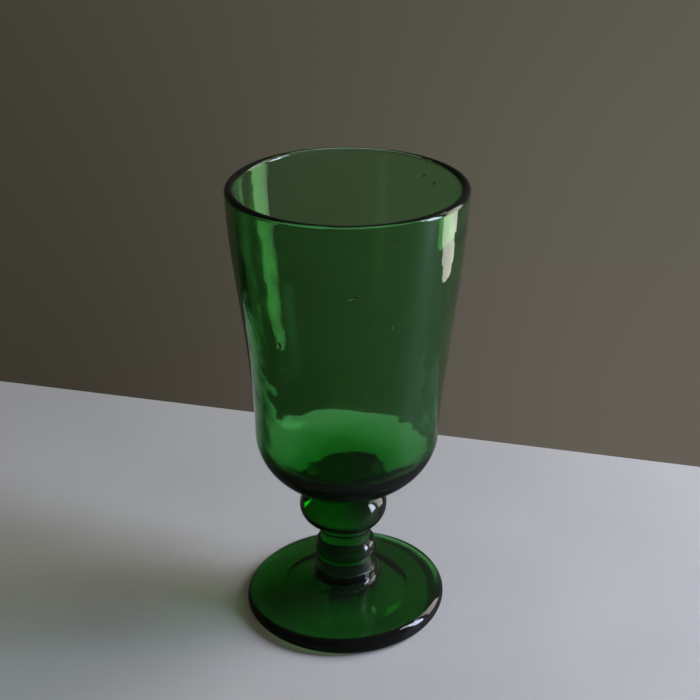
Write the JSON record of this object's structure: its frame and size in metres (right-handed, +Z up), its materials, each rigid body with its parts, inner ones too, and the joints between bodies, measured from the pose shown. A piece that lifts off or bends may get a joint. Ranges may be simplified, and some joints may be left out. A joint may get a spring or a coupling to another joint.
{
  "type": "stemmed glass",
  "caption": "Hand-blown green stemmed glass: tall bowl widening to a rounded lip, flattened knop, short necked stem, collar and round foot.",
  "frame": {"origin": "middle of the foot's underside, on the surface that the glass stands on", "axes": "+Z up along the axis of the bowl and stem, from the foot towards the rim"},
  "size_m": [0.074, 0.074, 0.15],
  "materials": {
    "green_glass": "fire-polished, hand-blown",
    "broken_glass": "rough, cracked off and left unpolished"
  },
  "bodies": {
    "root": {"bowl": "green_glass", "upper_knop": "green_glass", "stem": "green_glass", "collar": "green_glass", "foot": "green_glass", "pontil_scar": "broken_glass"}
  },
  "joints": []
}
